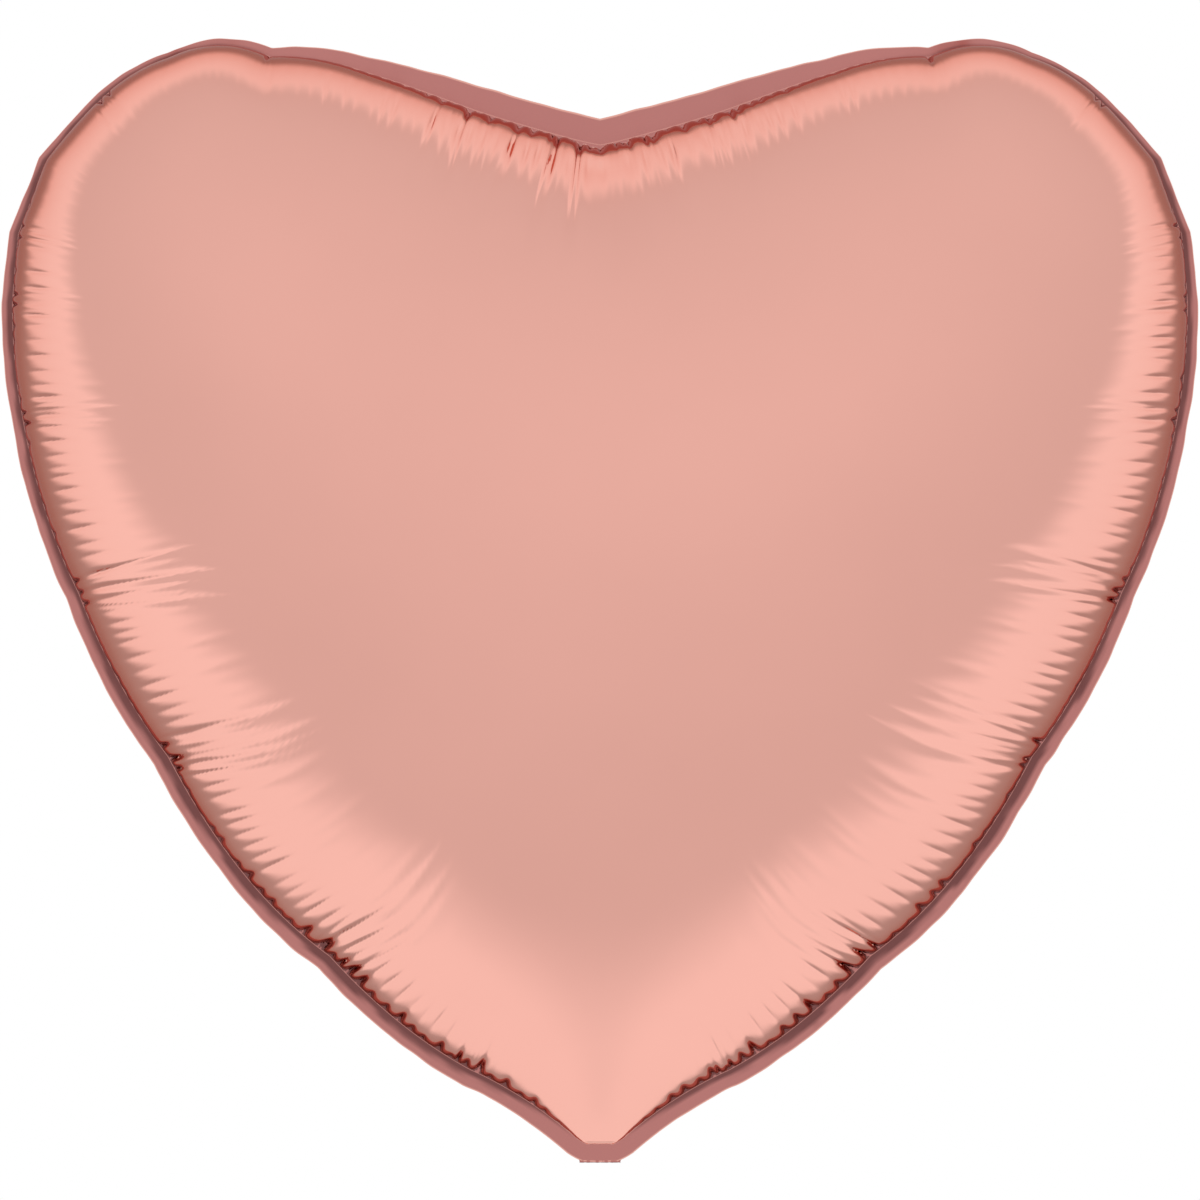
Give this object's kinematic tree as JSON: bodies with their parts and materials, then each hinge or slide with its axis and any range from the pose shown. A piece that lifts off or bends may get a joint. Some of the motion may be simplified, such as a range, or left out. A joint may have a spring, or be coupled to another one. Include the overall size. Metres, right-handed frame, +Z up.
{
  "type": "heart-shaped foil balloon",
  "caption": "Inflated heart-shaped foil balloon with a heat-welded rim, an inner self-sealing valve and a fill tail folded behind its tip.",
  "frame": {"origin": "middle of the crease where the fill tail folds off the heart's tip, midway between the two films", "axes": "+X to the right across the heart's width as seen from the front, +Y from the front to the back, +Z up through the cleft"},
  "size_m": [0.3798, 0.184, 0.3568],
  "materials": {
    "foil": "metallised rose-gold film, satin mirror",
    "sealant": "fused clear polyethylene",
    "valve_film": "translucent polyethylene film",
    "release_print": "printed release ink"
  },
  "bodies": {
    "envelope": {"front_panel": "foil", "back_panel": "foil", "seam_weld": "sealant", "valve_front_film": "valve_film", "valve_back_film": "valve_film", "valve_edge_welds": "sealant", "valve_release_print": "release_print"},
    "tail": {"tail_front_film": "foil", "tail_back_film": "foil", "tail_weld": "sealant"}
  },
  "joints": [
    {"name": "tail_fold", "type": "hinge", "parent": "envelope", "child": "tail", "pos_m": [0, 0, 0], "axis": [-1, 0, 0], "range_deg": [0, 268]}
  ]
}
